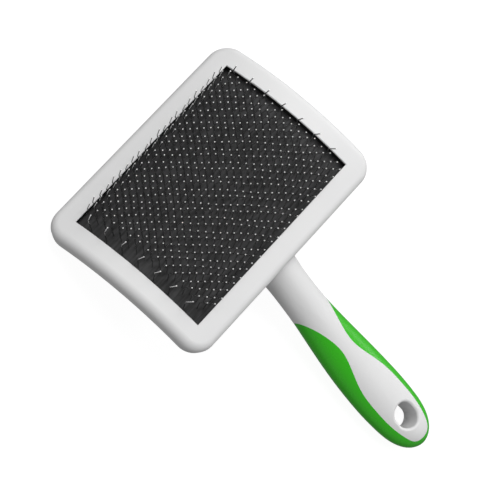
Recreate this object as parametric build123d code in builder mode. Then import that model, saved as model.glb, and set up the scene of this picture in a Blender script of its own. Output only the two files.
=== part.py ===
"""Slicker brush: a curved head that holds a sprung pad of bent wires, on a handle with a soft grip.

Millimetres. Every piece is drawn in the head's own frame: X along the head's long side, Y away from
the handle, Z out of the wire side, with the origin on the crown of the rim. The finished pieces are
then turned and dropped together, so that the brush lies on its back on Z = 0 with its wires up.
"""

from build123d import *
import math
import os

# Head: a slab bent about an axis parallel to X. Depths are measured inwards from the rim face.
curve_radius = 137.6
head_length = 133.1
head_width = 98.4
head_thickness = 12.0
corner_radius = 10.8
front_edge_radius = 4.2
back_edge_radius = 5.0
frame_depth = 8.0
window_length = 110.0
window_width = 74.7
window_edge_radius = 0.35
lip_thickness = 1.0
lip_overhang = 1.4
seal_gap = 0.4

# Pad pocket, and the hollow rim around it
pad_length = 114.0
pad_width = 78.6
pad_corner = 2.5
pad_side_gap = 0.8
pocket_wall = 1.8
rim_wall = 2.4
groove_top = 2.6
peg_radius = 1.8
peg_reach = 2.2
socket_clearance = 0.1

# Pad layers, from the face down to the plate of the back shell
pad_recess = 4.5
pad_ledge_gap = 0.3
rubber_thickness = 1.2
cloth_thickness = 0.8
crown_room = 0.75
foam_thickness = 2.5
foam_inset = 1.0

# Wires. Their leans are measured from straight over a point a little above the pad's face
lean_depth = 3.0
wire_radius = 0.27
wire_tip_radius = 0.2
wire_wander = 1.8
wire_pitch = 4.58
row_angle = 1.008
row_offset_angle = 0.6
first_row = -15
last_row = 14
shaft_lean = 10.0
shaft_height = 7.2
tip_lean = 17.5
tip_length = 7.3
knee_bend = 1.0
crown_length = 1.6
crown_bend = 0.5

# Handle: its centre line runs in the head's YZ plane, from under the head to the far end
handle_line_points = [
    (-24.0, -13.0),
    (-43.0, -25.3),
    (-66.7, -40.7),
    (-97.0, -57.7),
    (-128.0, -70.9),
    (-148.8, -79.0),
]
handle_sections = [
    # distance along the line, width, thickness
    (0.0, 36.0, 6.0),
    (12.0, 27.0, 14.0),
    (22.5, 21.2, 19.0),
    (31.0, 19.7, 18.2),
    (41.0, 19.6, 17.4),
    (51.0, 20.2, 17.4),
    (61.0, 21.8, 17.8),
    (74.0, 24.4, 18.2),
    (86.0, 26.6, 18.4),
    (98.0, 28.1, 18.3),
    (110.0, 28.6, 17.9),
    (120.0, 27.7, 17.2),
    (128.0, 25.4, 16.0),
    (134.0, 21.0, 14.0),
    (138.0, 15.4, 10.8),
    (140.3, 9.6, 7.0),
    (141.4, 4.4, 3.4),
]
grip_thickness = 2.2
grip_inside_from = 41.0
grip_inside_to = 137.0
grip_start = 74.0
panel_slope = 25.0
panel_depth = 10.8
# Half-width of the bare front panel at distances from the crown along the panel's slope
panel_shoulder = (72.0, 12.5)
panel_outline = [
    (84.3, 7.6),
    (93.0, 5.1),
    (103.0, 3.85),
    (113.0, 5.9),
    (124.0, 8.9),
    (138.0, 9.95),
    (150.0, 9.3),
    (158.5, 7.3),
]
panel_end = 164.5
back_tongue_end = 92.0
hang_hole_distance = 149.7
hang_hole_width = 11.2
hang_hole_stretch = 2.4
hang_hole_edge = 1.2
hang_hole_collar = 2.8

# Lying on its back, the brush rests on the head's far edge and the handle
lying_angle = 19.7


def along_curve(x, angle, depth):
    """A plane on the head's curve, facing straight out of it."""
    radius = curve_radius - depth
    lean = math.radians(angle)
    origin = (x, radius * math.sin(lean), radius * math.cos(lean) - curve_radius)
    return Plane(origin=origin, x_dir=(1, 0, 0), z_dir=(0, math.sin(lean), math.cos(lean)))


def angle_for(half_width, depth=0.0):
    """The angle that an arc of this half-width covers at a depth."""
    return math.degrees(math.asin(half_width / (curve_radius - depth)))


def curved_slab(top, bottom, length, half_angle, corner=0.0):
    """A slab between two depths, bent to the head's curve, with rounded corners."""
    with BuildPart() as slab:
        with BuildSketch(Plane.YZ):
            with BuildLine():
                start, sweep = 90 - half_angle, 2 * half_angle
                outer = CenterArc((0, -curve_radius), curve_radius - top, start, sweep)
                inner = CenterArc((0, -curve_radius), curve_radius - bottom, start, sweep)
                Line(outer @ 0, inner @ 0)
                Line(outer @ 1, inner @ 1)
            make_face()
        extrude(amount=length / 2, both=True)
        if corner:
            straight = slab.edges().filter_by(GeomType.LINE)
            corners = straight.filter_by(lambda edge: abs(edge.tangent_at(0).X) < 0.01)
            fillet(corners, corner)
    return slab.part


def outline_at(part, depth):
    """The edges of a curved part that lie at one depth."""
    radius = curve_radius - depth

    def is_there(edge):
        reach = [math.hypot(p.Y, p.Z + curve_radius) for p in (edge @ 0, edge @ 0.5, edge @ 1)]
        return all(abs(r - radius) < 0.05 for r in reach)

    return part.edges().filter_by(is_there)


# ---- Blanks shared by the head's two mouldings ------------------------------------------------

head_angle = angle_for(head_width / 2)
window_angle = angle_for(window_width / 2)
pad_angle = math.degrees(pad_width / 2 / curve_radius)
gap_angle = math.degrees(pad_side_gap / curve_radius)
wall_angle = math.degrees(pocket_wall / curve_radius)
rim_angle = math.degrees(rim_wall / curve_radius)
pocket_length = pad_length + 2 * pad_side_gap
pocket_angle = pad_angle + gap_angle

with BuildPart() as head_block:
    add(curved_slab(0, head_thickness, head_length, head_angle, corner_radius))
    fillet(outline_at(head_block, 0), front_edge_radius)
    fillet(outline_at(head_block, head_thickness), back_edge_radius)

front_half = curved_slab(-2, frame_depth, head_length + 4, head_angle + 2)
back_half = curved_slab(frame_depth, head_thickness + 2, head_length + 4, head_angle + 2)
pocket = curved_slab(pad_recess - pad_ledge_gap, frame_depth + 2, pocket_length, pocket_angle, pad_corner)
undercut = curved_slab(
    lip_thickness,
    pad_recess,
    window_length + 2 * lip_overhang,
    window_angle + math.degrees(lip_overhang / curve_radius),
)
groove_outside = curved_slab(
    groove_top,
    frame_depth + 2,
    head_length - 2 * rim_wall,
    head_angle - rim_angle,
    corner_radius - rim_wall,
)
groove_inside = curved_slab(
    groove_top - 1,
    frame_depth + 3,
    pocket_length + 2 * pocket_wall,
    pocket_angle + wall_angle,
    pad_corner + pocket_wall,
)
plate_depth = pad_recess + rubber_thickness + cloth_thickness + crown_room + foam_thickness + 0.1
tray = curved_slab(frame_depth - 2, plate_depth, pocket_length, pocket_angle, pad_corner)

# Pegs stand in the middle of the rim's groove
peg_x = (head_length / 2 - rim_wall + pocket_length / 2 + pocket_wall) / 2
peg_angle = (head_angle - rim_angle + pocket_angle + wall_angle) / 2
side_pegs = [(side * peg_x, angle) for side in (-1, 1) for angle in (-12, 0, 12)]
end_pegs = [(x, side * peg_angle) for side in (-1, 1) for x in (-42, -14, 14, 42)]
peg_places = side_pegs + end_pegs

# ---- Front frame: the bezel that holds the pad in ---------------------------------------------


def is_in_window(edge):
    """True for an edge no further out than the window's own outline."""
    middle = edge @ 0.5
    return abs(middle.X) < window_length / 2 + 0.1 and abs(middle.Y) < window_width / 2 + 0.1


with BuildPart() as front_frame:
    add(head_block.part)
    add(front_half, mode=Mode.INTERSECT)
    with BuildSketch(Plane.XY):
        Rectangle(window_length, window_width)
    extrude(amount=-30, both=True, mode=Mode.SUBTRACT)
    fillet(outline_at(front_frame, 0).filter_by(is_in_window), window_edge_radius)
    add(undercut, mode=Mode.SUBTRACT)
    add(pocket, mode=Mode.SUBTRACT)
    add(groove_outside - groove_inside, mode=Mode.SUBTRACT)
    with BuildSketch(*[along_curve(x, angle, frame_depth + peg_reach) for x, angle in peg_places]):
        Circle(peg_radius)
    extrude(amount=frame_depth + peg_reach - groove_top + 0.4)

# ---- Window seal: a strip stuck in the step behind the frame's lip ------------------------------

with BuildPart() as window_seal:
    add(undercut)
    with BuildSketch(Plane.XY):
        Rectangle(window_length, window_width)
    extrude(amount=-30, both=True, mode=Mode.SUBTRACT)
    add(curved_slab(pad_recess - seal_gap, frame_depth, head_length, head_angle), mode=Mode.SUBTRACT)

# ---- Handle and back shell: one moulding -------------------------------------------------------

with BuildLine(Plane.YZ) as centre:
    handle_line = Spline(handle_line_points)


def section_plane(distance):
    """A plane square to the handle's centre line."""
    point = handle_line.position_at(distance, position_mode=PositionMode.LENGTH)
    ahead = handle_line.tangent_at(distance, position_mode=PositionMode.LENGTH)
    return Plane(origin=point, x_dir=(1, 0, 0), z_dir=ahead)


def handle_form(sections, inset):
    """A smooth body through elliptical sections, inset from the handle's skin."""
    with BuildPart() as form:
        for distance, width, thickness in sections:
            with BuildSketch(section_plane(distance)):
                Ellipse(width / 2 - inset, thickness / 2 - inset)
        loft()
    return form.part


handle_skin = handle_form(handle_sections, 0)
inner_sections = [s for s in handle_sections if grip_inside_from <= s[0] <= grip_inside_to]
grip_inside = handle_form(inner_sections, grip_thickness)

slope = math.radians(panel_slope)
panel_plane = Plane(
    origin=(0, 0, 0),
    x_dir=(0, -math.cos(slope), -math.sin(slope)),
    z_dir=(0, -math.sin(slope), math.cos(slope)),
)
middle_plane = panel_plane.offset(-panel_depth)

with BuildPart() as panel_prism:
    with BuildSketch(middle_plane):
        with BuildLine():
            right = Spline(
                [panel_shoulder, *panel_outline, (panel_end, 0)],
                tangents=[(1, -0.4), (0, -1)],
            )
            left = mirror(right, about=Plane.XZ)
            Line(right @ 0, left @ 0)
        make_face()
    extrude(amount=30)

with BuildPart() as tongue_prism:
    with BuildSketch(middle_plane):
        with BuildLine():
            near = Spline([panel_shoulder, (back_tongue_end, 0)], tangents=[(1, -0.2), (0, -1)])
            far = mirror(near, about=Plane.XZ)
            Line(near @ 0, far @ 0)
        make_face()
    extrude(amount=-30)

with BuildPart() as hole_collar:
    with BuildSketch(middle_plane):
        with Locations((hang_hole_distance, 0)):
            SlotCenterToCenter(hang_hole_stretch, hang_hole_width + 2 * hang_hole_collar)
    extrude(amount=20, both=True)

with BuildPart() as grip_overmould:
    add(handle_skin)
    with BuildSketch(middle_plane):
        with Locations((grip_start, 0)):
            Rectangle(200, 80, align=(Align.MIN, Align.CENTER))
    extrude(amount=30, both=True, mode=Mode.INTERSECT)
    add(grip_inside, mode=Mode.SUBTRACT)
    add(panel_prism.part, mode=Mode.SUBTRACT)
    add(tongue_prism.part, mode=Mode.SUBTRACT)
    add(hole_collar.part, mode=Mode.SUBTRACT)

with BuildPart() as handle_core:
    add(handle_skin)
    add(grip_overmould.part, mode=Mode.SUBTRACT)
    with BuildSketch(middle_plane):
        with Locations((hang_hole_distance, 0)):
            SlotCenterToCenter(hang_hole_stretch, hang_hole_width)
    extrude(amount=30, both=True, mode=Mode.SUBTRACT)
    walls = handle_core.edges(Select.LAST).filter_by(GeomType.LINE)
    rims = handle_core.edges(Select.LAST) - walls
    fillet(rims, hang_hole_edge)

with BuildPart() as handle_and_back_shell:
    add(handle_core.part)
    add(head_block.part & front_half, mode=Mode.SUBTRACT)
    add(head_block.part & back_half)
    add(tray, mode=Mode.SUBTRACT)
    with BuildSketch(*[along_curve(x, angle, frame_depth + peg_reach + 0.3) for x, angle in peg_places]):
        Circle(peg_radius + socket_clearance)
    extrude(amount=peg_reach + 1.3, mode=Mode.SUBTRACT)

# ---- Pad: foam under a cloth-backed rubber face ------------------------------------------------

cloth_top = pad_recess + rubber_thickness
crown_top = cloth_top + cloth_thickness
foam_top = crown_top + crown_room
foam_bottom = foam_top + foam_thickness
foam_angle = pad_angle - math.degrees(foam_inset / curve_radius)

with BuildPart() as pad_rubber:
    add(curved_slab(pad_recess, cloth_top, pad_length, pad_angle, pad_corner))

with BuildPart() as pad_cloth:
    add(curved_slab(cloth_top, crown_top, pad_length, pad_angle, pad_corner))

with BuildPart() as pad_foam:
    add(curved_slab(foam_top, foam_bottom, pad_length - 2 * foam_inset, foam_angle, pad_corner))

# ---- Wires: one bent wire, repeated in staggered rows ------------------------------------------

crown_depth = crown_top + wire_radius
shaft = math.radians(shaft_lean)
tip = math.radians(tip_lean)
crown_y = -math.tan(shaft) * (crown_depth - lean_depth)
knee = (0, math.sin(shaft) * shaft_height, -lean_depth + math.cos(shaft) * shaft_height)
wire_points = [
    (crown_length, crown_y, -crown_depth),
    (0, crown_y, -crown_depth),
    knee,
    (0, knee[1] - math.sin(tip) * tip_length, knee[2] + math.cos(tip) * tip_length),
]

with BuildPart() as wire:
    with BuildLine():
        wire_path = FilletPolyline(*wire_points, radius=[crown_bend, knee_bend])
    with BuildSketch(Plane(origin=wire_points[0], z_dir=(-1, 0, 0))):
        Circle(wire_radius)
    sweep()
    fillet(wire.faces().sort_by(Axis.Z)[-1].edges(), wire_tip_radius)


def wire_columns(row):
    """Half-pitches of a row's wires: odd rows sit between even ones, and every fourth is widest."""
    if row % 2:
        return range(-20, 21, 2)
    if row % 4:
        return range(-21, 22, 2)
    return range(-23, 24, 2)


def wire_place(row, half):
    """A wire's place in the pad. Real wires never stand quite alike, so each leans a little its own way."""
    angle = row * row_angle + row_offset_angle
    root = along_curve(half * wire_pitch / 2, angle, pad_recess).location
    forward = wire_wander * math.sin(12.9 * row + 7.3 * half)
    sideways = wire_wander * math.sin(4.7 * row + 11.1 * half)
    return root * Location((0, 0, 0), (forward, sideways, 0)) * Location((0, 0, pad_recess))


def wire_row(row):
    """One row of wires, square to the head's curve."""
    with BuildPart() as built:
        with Locations(*[wire_place(row, half) for half in wire_columns(row)]):
            add(wire.part)
    return built


pieces = {
    "front_frame": front_frame,
    "window_seal": window_seal,
    "handle_and_back_shell": handle_and_back_shell,
    "grip_overmould": grip_overmould,
    "pad_rubber": pad_rubber,
    "pad_cloth": pad_cloth,
    "pad_foam": pad_foam,
}
for number, row in enumerate(range(first_row, last_row + 1), start=1):
    pieces[f"wire_row_{number:02d}"] = wire_row(row)

# ---- Lay the brush on its back, with the origin under its middle -------------------------------

for piece in pieces.values():
    piece.part.move(Location((0, 0, 0), (-lying_angle, 0, 0)))
box = Compound([piece.part for piece in pieces.values()]).bounding_box()
drop = Location((-box.center().X, -box.center().Y, -box.min.Z))

os.makedirs("parts", exist_ok=True)
for name, piece in pieces.items():
    piece.part.move(drop)
    piece.part.label = name
    export_step(piece.part, f"parts/{name}.step")

print("size", box.size, "moved by", drop.position)
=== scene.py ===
"""Slicker brush: looks, soft pieces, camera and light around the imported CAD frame."""

import math

import bpy
import numpy as np
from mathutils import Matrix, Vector


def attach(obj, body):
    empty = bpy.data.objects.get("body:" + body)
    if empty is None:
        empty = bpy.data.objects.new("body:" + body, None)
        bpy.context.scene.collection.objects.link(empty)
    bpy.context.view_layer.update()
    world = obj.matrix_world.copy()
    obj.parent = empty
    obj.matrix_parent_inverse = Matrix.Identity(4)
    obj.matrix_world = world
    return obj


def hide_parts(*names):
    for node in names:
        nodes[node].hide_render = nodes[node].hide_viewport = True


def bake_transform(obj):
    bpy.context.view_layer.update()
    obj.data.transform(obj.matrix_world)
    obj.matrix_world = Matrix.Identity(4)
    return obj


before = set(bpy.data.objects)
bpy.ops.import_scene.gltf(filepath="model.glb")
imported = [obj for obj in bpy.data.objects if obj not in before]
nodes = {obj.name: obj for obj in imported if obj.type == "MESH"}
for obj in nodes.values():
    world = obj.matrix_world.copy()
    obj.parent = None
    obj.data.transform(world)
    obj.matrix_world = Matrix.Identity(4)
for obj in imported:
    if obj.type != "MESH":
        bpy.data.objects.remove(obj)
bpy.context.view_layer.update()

# ---- Sizes in millimetres ---------------------------------------------------------------------

MM = 0.001

# As in the CAD model: the head bends round an axis along X, and the brush lies tilted on the floor.
CURVE_RADIUS = 137.6
LYING_ANGLE = math.radians(19.7)
MOVED_BY = (0.0, 62.5, 32.2756)

# As in the CAD model: the wires stand in staggered rows, spaced in degrees round the bend's axis.
# A row's reach counts half pitches from the middle.
WIRE_PITCH = 4.58
ROW_ANGLE = 1.008
ROW_OFFSET_ANGLE = 0.6
FIRST_ROW = -15
LAST_ROW = 14
ODD_ROW_REACH = 20
EVEN_ROW_REACH = 21
FOURTH_ROW_REACH = 23

# The pad's layers, a hair thinner than their CAD solids apart from the puckers on the face.
# Tops and bottoms are depths below the rim's face.
PAD_CORNER = 2.5
FACE_SIZE = (114.0, 78.6)
FACE_TOP = 4.54
FACE_BOTTOM = 5.68
FACE_EDGE = 0.3
BACKING_SIZE = (113.8, 78.4)
BACKING_TOP = 5.72
BACKING_BOTTOM = 6.48
BACKING_EDGE = 0.2
FOAM_SIZE = (111.8, 76.4)
FOAM_TOP = 7.27
FOAM_BOTTOM = 9.73
FOAM_EDGE = 0.6

# Heights above the rim's face where the wires' colour changes: painted shade below the knee, a
# painted highlight and rougher steel at the tips.
KNEE_LOW = 3.4
KNEE_HIGH = 4.4
TIP_LOW = 10.5
TIP_HIGH = 10.8

# The rubber's puckers are higher and wider round the outer wires.
PUCKER_SHIFT = -0.27
PUCKER_REACH = 2.2
OUTER_WIRE_X = 48.0
OUTER_WIRE_ARC = 32.5
PUCKER_HEIGHT = 0.16
PUCKER_SPREAD = 0.45
OUTER_PUCKER_HEIGHT = 0.34
OUTER_PUCKER_SPREAD = 1.0

# Grid cells across and along: fine for the puckered face, coarse for the plain layers.
FACE_CELLS = (285, 196)
LAYER_CELLS = (60, 42)

# ---- The head's curve -------------------------------------------------------------------------


def on_curve(x, arc, depth):
    """Scene points in metres, from x, the arc along the head's curve and the depth, all in mm."""
    angle = np.asarray(arc, float) / CURVE_RADIUS
    radius = CURVE_RADIUS - np.asarray(depth, float)
    y = radius * np.sin(angle)
    z = radius * np.cos(angle) - CURVE_RADIUS
    cos, sin = math.cos(LYING_ANGLE), math.sin(LYING_ANGLE)
    x = np.broadcast_to(np.asarray(x, float), y.shape)
    points = np.stack([x, y * cos + z * sin, -y * sin + z * cos], axis=-1)
    return (points + np.array(MOVED_BY)) * MM


def from_bend_axis(height):
    """How far from the bend's axis something stands, height mm above the rim's face, in metres."""
    return (CURVE_RADIUS + height) * MM


def wire_roots():
    """Where each wire leaves the pad: (x, arc) in mm."""
    places = []
    for row in range(FIRST_ROW, LAST_ROW + 1):
        if row % 2:
            reach = ODD_ROW_REACH
        else:
            reach = EVEN_ROW_REACH if row % 4 else FOURTH_ROW_REACH
        arc = math.radians(row * ROW_ANGLE + ROW_OFFSET_ANGLE) * CURVE_RADIUS
        for half in range(-reach, reach + 1, 2):
            places.append((half * WIRE_PITCH / 2, arc))
    return np.array(places)


def mesh_object(name, points, faces):
    """A smooth-shaded mesh in the scene, from points in metres."""
    mesh = bpy.data.meshes.new(name)
    mesh.from_pydata([tuple(p) for p in points], [], faces)
    mesh.validate()
    mesh.update()
    mesh.polygons.foreach_set("use_smooth", [True] * len(mesh.polygons))
    obj = bpy.data.objects.new(name, mesh)
    bpy.context.scene.collection.objects.link(obj)
    return obj


def rounded_slab(name, size, top, bottom, edge, cells, relief=None):
    """A closed slab bent to the head's curve, with rounded corners and soft edges."""
    length, width = size
    across, along = cells
    u = np.linspace(-length / 2, length / 2, across + 1)
    v = np.linspace(-width / 2, width / 2, along + 1)
    uu, vv = np.meshgrid(u, v, indexing="ij")

    # Square corners of the grid are pulled in to round ones.
    inner_u = np.clip(uu, -(length / 2 - PAD_CORNER), length / 2 - PAD_CORNER)
    inner_v = np.clip(vv, -(width / 2 - PAD_CORNER), width / 2 - PAD_CORNER)
    du, dv = uu - inner_u, vv - inner_v
    reach = np.hypot(du, dv)
    in_corner = (np.abs(du) > 0) & (np.abs(dv) > 0)
    shrink = np.maximum(np.abs(du), np.abs(dv)) / np.maximum(reach, 1e-9)
    pull = np.where(in_corner, shrink, 1.0)
    uu, vv = inner_u + du * pull, inner_v + dv * pull

    # Near the border both faces turn towards each other in a quarter circle.
    border = PAD_CORNER - np.hypot(uu - inner_u, vv - inner_v)
    border = np.minimum(border, np.minimum(length / 2 - np.abs(uu), width / 2 - np.abs(vv)))
    near = np.clip(edge - border, 0, edge)
    sag = edge - np.sqrt(np.maximum(edge * edge - near * near, 0))
    high = top + sag
    if relief is not None:
        high = high - relief(uu, vv)
    low = bottom - sag
    upper = on_curve(uu, vv, high).reshape(-1, 3)
    lower = on_curve(uu, vv, low).reshape(-1, 3)

    count = len(upper)
    stride = along + 1
    faces = []
    for i in range(across):
        for j in range(along):
            a = i * stride + j
            b = a + stride
            faces.append((a, b, b + 1, a + 1))
            faces.append((count + a, count + a + 1, count + b + 1, count + b))
    rim = [i * stride for i in range(across + 1)]
    rim += [across * stride + j for j in range(1, stride)]
    rim += [i * stride + along for i in range(across - 1, -1, -1)]
    rim += [j for j in range(along - 1, 0, -1)]
    for a, b in zip(rim, rim[1:] + rim[:1]):
        faces.append((b, a, count + a, count + b))
    return mesh_object(name, np.vstack([upper, lower]), faces)


# ---- Materials --------------------------------------------------------------------------------


class Shading:
    """Adds and links shader nodes in a material or a world."""

    def __init__(self, owner, shader="Principled BSDF"):
        owner.use_nodes = True
        self.owner = owner
        self.tree = owner.node_tree
        self.shader = self.tree.nodes[shader]

    def add(self, kind, **inputs):
        node = self.tree.nodes.new(kind)
        for key, value in inputs.items():
            self.put(node, key, value)
        return node

    def put(self, node, key, value):
        self.fill(node.inputs[key.replace("_", " ")], value)

    def fill(self, socket, value):
        if isinstance(value, bpy.types.NodeSocket):
            self.tree.links.new(value, socket)
        else:
            socket.default_value = value

    def set(self, **inputs):
        for key, value in inputs.items():
            self.put(self.shader, key, value)

    def math(self, operation, one, other):
        node = self.tree.nodes.new("ShaderNodeMath")
        node.operation = operation
        self.fill(node.inputs[0], one)
        self.fill(node.inputs[1], other)
        return node.outputs["Value"]

    def vector_math(self, operation, one, other):
        node = self.tree.nodes.new("ShaderNodeVectorMath")
        node.operation = operation
        self.fill(node.inputs[0], one)
        self.fill(node.inputs[1], other)
        return node

    def position(self):
        return self.add("ShaderNodeTexCoord").outputs["Object"]

    def height(self):
        """Distance from the axis that the head bends round, which grows towards the wires' tips."""
        flat = self.vector_math("MULTIPLY", self.position(), (0, 1, 1))
        axis = on_curve(0.0, 0.0, CURVE_RADIUS)
        return self.vector_math("DISTANCE", flat.outputs["Vector"], axis).outputs["Value"]

    def along(self, stretch):
        """Object coordinates squeezed along X, so that a texture runs in streaks along the rows."""
        return self.vector_math("MULTIPLY", self.position(), (1 / stretch, 1, 1)).outputs["Vector"]

    def noise(self, scale, detail=3.0, roughness=0.5, vector=None):
        node = self.add("ShaderNodeTexNoise", Scale=scale, Detail=detail, Roughness=roughness)
        self.put(node, "Vector", vector or self.position())
        return node.outputs["Fac"]

    def span(self, value, low, high, to_low, to_high):
        """Maps value from low..high to to_low..to_high, and holds it there beyond."""
        node = self.add(
            "ShaderNodeMapRange",
            Value=value,
            From_Min=low,
            From_Max=high,
            To_Min=to_low,
            To_Max=to_high,
        )
        return node.outputs["Result"]

    def blotches(self, scale, to_low, to_high, detail=3.0):
        """A number that wanders between two values over the surface."""
        return self.span(self.noise(scale, detail), 0.3, 0.7, to_low, to_high)

    def ramp(self, value, *stops):
        node = self.add("ShaderNodeValToRGB", Fac=value)
        elements = node.color_ramp.elements
        while len(elements) < len(stops):
            elements.new(0.5)
        for element, (place, color) in zip(elements, stops):
            element.position = place
            element.color = (*color, 1.0)
        return node.outputs["Color"]

    def bump(self, height, distance, strength=1.0, normal=None):
        node = self.add("ShaderNodeBump", Height=height, Distance=distance, Strength=strength)
        if normal is not None:
            self.put(node, "Normal", normal)
        return node.outputs["Normal"]


def new_material(name):
    return Shading(bpy.data.materials.new(name))


def white_plastic():
    m = new_material("white_plastic")
    broad = m.noise(18.0, 2.0)
    fine = m.noise(900.0, 4.0, 0.6)
    m.set(
        Base_Color=m.ramp(broad, (0.35, (0.62, 0.62, 0.622)), (0.65, (0.64, 0.64, 0.64))),
        Roughness=m.blotches(60.0, 0.48, 0.56),
        Normal=m.bump(fine, 0.00003, 0.35),
        IOR=1.5,
    )
    return m.owner


def green_grip():
    m = new_material("green_grip")
    broad = m.noise(14.0, 2.0)
    fine = m.noise(1400.0, 3.0, 0.65)
    m.set(
        Base_Color=m.ramp(broad, (0.35, (0.022, 0.395, 0.002)), (0.65, (0.028, 0.415, 0.004))),
        Roughness=m.blotches(80.0, 0.24, 0.32),
        Normal=m.bump(fine, 0.00004, 0.4),
        IOR=1.48,
    )
    return m.owner


def pad_rubber():
    m = new_material("pad_face")
    streaks = m.noise(620.0, 2.0, 0.5, m.along(9.0))
    fine = m.noise(2200.0, 4.0, 0.7)
    m.set(
        Base_Color=m.ramp(streaks, (0.36, (0.012, 0.012, 0.0125)), (0.62, (0.033, 0.033, 0.034))),
        Roughness=m.blotches(300.0, 0.62, 0.78),
        Normal=m.bump(streaks, 0.00008, 0.5, m.bump(fine, 0.00005, 0.6)),
        Specular_IOR_Level=0.35,
    )
    return m.owner


def seal_painted_shade():
    # The near-black seal round the window is painted shade: it stands in for the shadow in the gap
    # under the lip.
    m = new_material("seal_painted_shade")
    m.set(
        Base_Color=(0.007, 0.007, 0.007, 1.0),
        Roughness=m.blotches(300.0, 0.6, 0.75),
        Specular_IOR_Level=0.2,
    )
    return m.owner


def pad_cloth():
    m = new_material("pad_backing")
    wave = m.add("ShaderNodeTexWave", Vector=m.position(), Scale=320.0, Distortion=0.6, Detail=2.0)
    threads = wave.outputs["Fac"]
    m.set(
        Base_Color=m.ramp(threads, (0.0, (0.20, 0.19, 0.16)), (1.0, (0.32, 0.30, 0.26))),
        Roughness=0.9,
        Normal=m.bump(threads, 0.0001, 0.6),
    )
    return m.owner


def foam():
    m = new_material("foam")
    cells = m.add("ShaderNodeTexVoronoi", Vector=m.position(), Scale=1400.0).outputs["Distance"]
    m.set(
        Base_Color=m.ramp(cells, (0.0, (0.05, 0.05, 0.055)), (0.6, (0.11, 0.11, 0.12))),
        Roughness=0.95,
        Normal=m.bump(cells, 0.0002, 0.8),
    )
    return m.owner


def steel_wire():
    """Polished steel, darker below the knee by painted shade, with blunt tips lightened by a
    painted highlight.
    """
    m = new_material("steel_wire")
    height = m.height()
    knee = from_bend_axis(KNEE_LOW), from_bend_axis(KNEE_HIGH)
    tip = from_bend_axis(TIP_LOW), from_bend_axis(TIP_HIGH)
    # Painted shade: the steel's colour is darker below the knee, where the wires shade each other.
    knee_painted_shade = m.span(height, *knee, 0.50, 0.78)
    # Painted highlight: the steel's colour is lighter at the tips so that each tip shows a bright
    # dot.
    painted_shade_and_tip_highlight = m.math("ADD", knee_painted_shade, m.span(height, *tip, 0.0, 0.14))
    shade = m.math("ADD", painted_shade_and_tip_highlight, m.blotches(700.0, -0.03, 0.03, 2.0))
    brushed = m.blotches(1600.0, 0.14, 0.22, 2.0)
    m.set(
        Base_Color=m.ramp(shade, (0.0, (0.0, 0.0, 0.0)), (1.0, (1.0, 1.0, 1.0))),
        Roughness=m.math("ADD", m.span(height, *tip, 0.0, 0.5), brushed),
        Metallic=1.0,
    )
    return m.owner


def paint(obj, material):
    obj.data.materials.clear()
    obj.data.materials.append(material)


plastic = white_plastic()
steel = steel_wire()
paint(nodes["front_frame"], plastic)
paint(nodes["handle_and_back_shell"], plastic)
paint(nodes["grip_overmould"], green_grip())
paint(nodes["window_seal"], seal_painted_shade())
for name, node in nodes.items():
    if name.startswith("wire_row_"):
        paint(node, steel)

# ---- Pad: rubber face, cloth backing and foam -------------------------------------------------

roots = wire_roots()


def puckers(uu, vv):
    """The rubber stands up a little round each wire that comes through it."""
    height = np.zeros_like(uu)
    for x, arc in roots + np.array((0.0, PUCKER_SHIFT)):
        near = (np.abs(uu - x) < PUCKER_REACH) & (np.abs(vv - arc) < PUCKER_REACH)
        squared = (uu[near] - x) ** 2 + (vv[near] - arc) ** 2
        outer = max(abs(x) / OUTER_WIRE_X, abs(arc) / OUTER_WIRE_ARC) > 1
        peak = OUTER_PUCKER_HEIGHT if outer else PUCKER_HEIGHT
        spread = OUTER_PUCKER_SPREAD if outer else PUCKER_SPREAD
        height[near] += peak * np.exp(-squared / spread)
    return height


pad_face = rounded_slab(
    "pad_face", FACE_SIZE, FACE_TOP, FACE_BOTTOM, FACE_EDGE, FACE_CELLS, puckers
)
paint(pad_face, pad_rubber())
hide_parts("pad_rubber")
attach(pad_face, "wire_pad")

backing = rounded_slab(
    "pad_backing", BACKING_SIZE, BACKING_TOP, BACKING_BOTTOM, BACKING_EDGE, LAYER_CELLS
)
paint(backing, pad_cloth())
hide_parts("pad_cloth")
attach(backing, "wire_pad")

cushion = rounded_slab(
    "foam_cushion", FOAM_SIZE, FOAM_TOP, FOAM_BOTTOM, FOAM_EDGE, LAYER_CELLS
)
paint(cushion, foam())
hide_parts("pad_foam")
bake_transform(cushion)

# ---- Floor and room ---------------------------------------------------------------------------

FLOOR_REACH = 6.0

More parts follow.
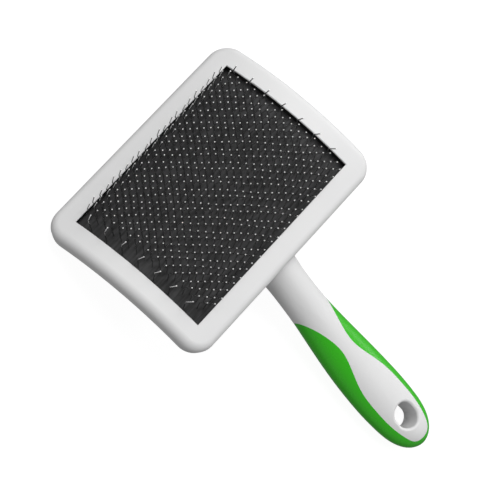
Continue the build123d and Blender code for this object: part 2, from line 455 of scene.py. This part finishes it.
corners = [(-1, -1), (1, -1), (1, 1), (-1, 1)]
floor = mesh_object(
    "floor", [(x * FLOOR_REACH, y * FLOOR_REACH, 0) for x, y in corners], [(0, 1, 2, 3)]
)
ground = new_material("floor_paint")
ground.set(
    Base_Color=ground.ramp(ground.noise(3.0), (0.4, (0.14, 0.14, 0.14)), (0.6, (0.16, 0.16, 0.16))),
    Roughness=0.9,
    Emission_Color=(1.0, 1.0, 1.0, 1.0),
    Emission_Strength=0.92,
)
paint(floor, ground.owner)
floor.visible_diffuse = False
floor.visible_glossy = False

# The room is brightest at the horizon, dims towards the top, and is darker below.
studio = Shading(bpy.data.worlds.new("studio"), "Background")
bpy.context.scene.world = studio.owner
direction = studio.add("ShaderNodeTexCoord").outputs["Generated"]
rise = studio.add("ShaderNodeSeparateXYZ", Vector=direction).outputs["Z"]
above = studio.span(rise, 0.0, 1.0, 0.48, 0.30)
below = studio.span(rise, -0.25, 0.0, 0.45, 1.0)
studio.set(Color=(1, 1, 1, 1), Strength=studio.math("MULTIPLY", above, below))

# ---- Softboxes and camera ---------------------------------------------------------------------

LIT_POINT = Vector((0, 0.02, 0.02))
SOFTBOX_DISTANCE = 1.4


def softbox(name, direction, size, watts):
    """A rectangular light that faces the brush from direction."""
    lamp = bpy.data.lights.new(name, "AREA")
    lamp.shape = "RECTANGLE"
    lamp.size, lamp.size_y = size
    lamp.energy = watts
    toward = Vector(direction).normalized()
    obj = bpy.data.objects.new(name, lamp)
    obj.location = LIT_POINT + toward * SOFTBOX_DISTANCE
    obj.rotation_euler = toward.to_track_quat("Z", "Y").to_euler()
    bpy.context.scene.collection.objects.link(obj)


softbox("key", (0.40, 0.32, 1.0), (0.9, 0.9), 14.0)
softbox("side", (1.0, -0.1, 0.30), (0.8, 0.5), 5.4)
softbox("far", (-0.5, 0.7, 0.8), (0.5, 0.5), 2.2)
softbox("near", (0.36, -0.6, 0.71), (0.5, 0.5), 3.0)

camera_data = bpy.data.cameras.new("camera")
camera_data.sensor_width = 36.0
camera_data.lens = 184.69
camera_data.clip_end = 20.0
camera = bpy.data.objects.new("camera", camera_data)
camera.location = (-0.44168, 0.26818, 1.12942)
camera.rotation_euler = [math.radians(angle) for angle in (7.1804, -23.2609, -46.4701)]
bpy.context.scene.collection.objects.link(camera)
bpy.context.scene.camera = camera
bpy.context.scene.view_settings.view_transform = "Standard"
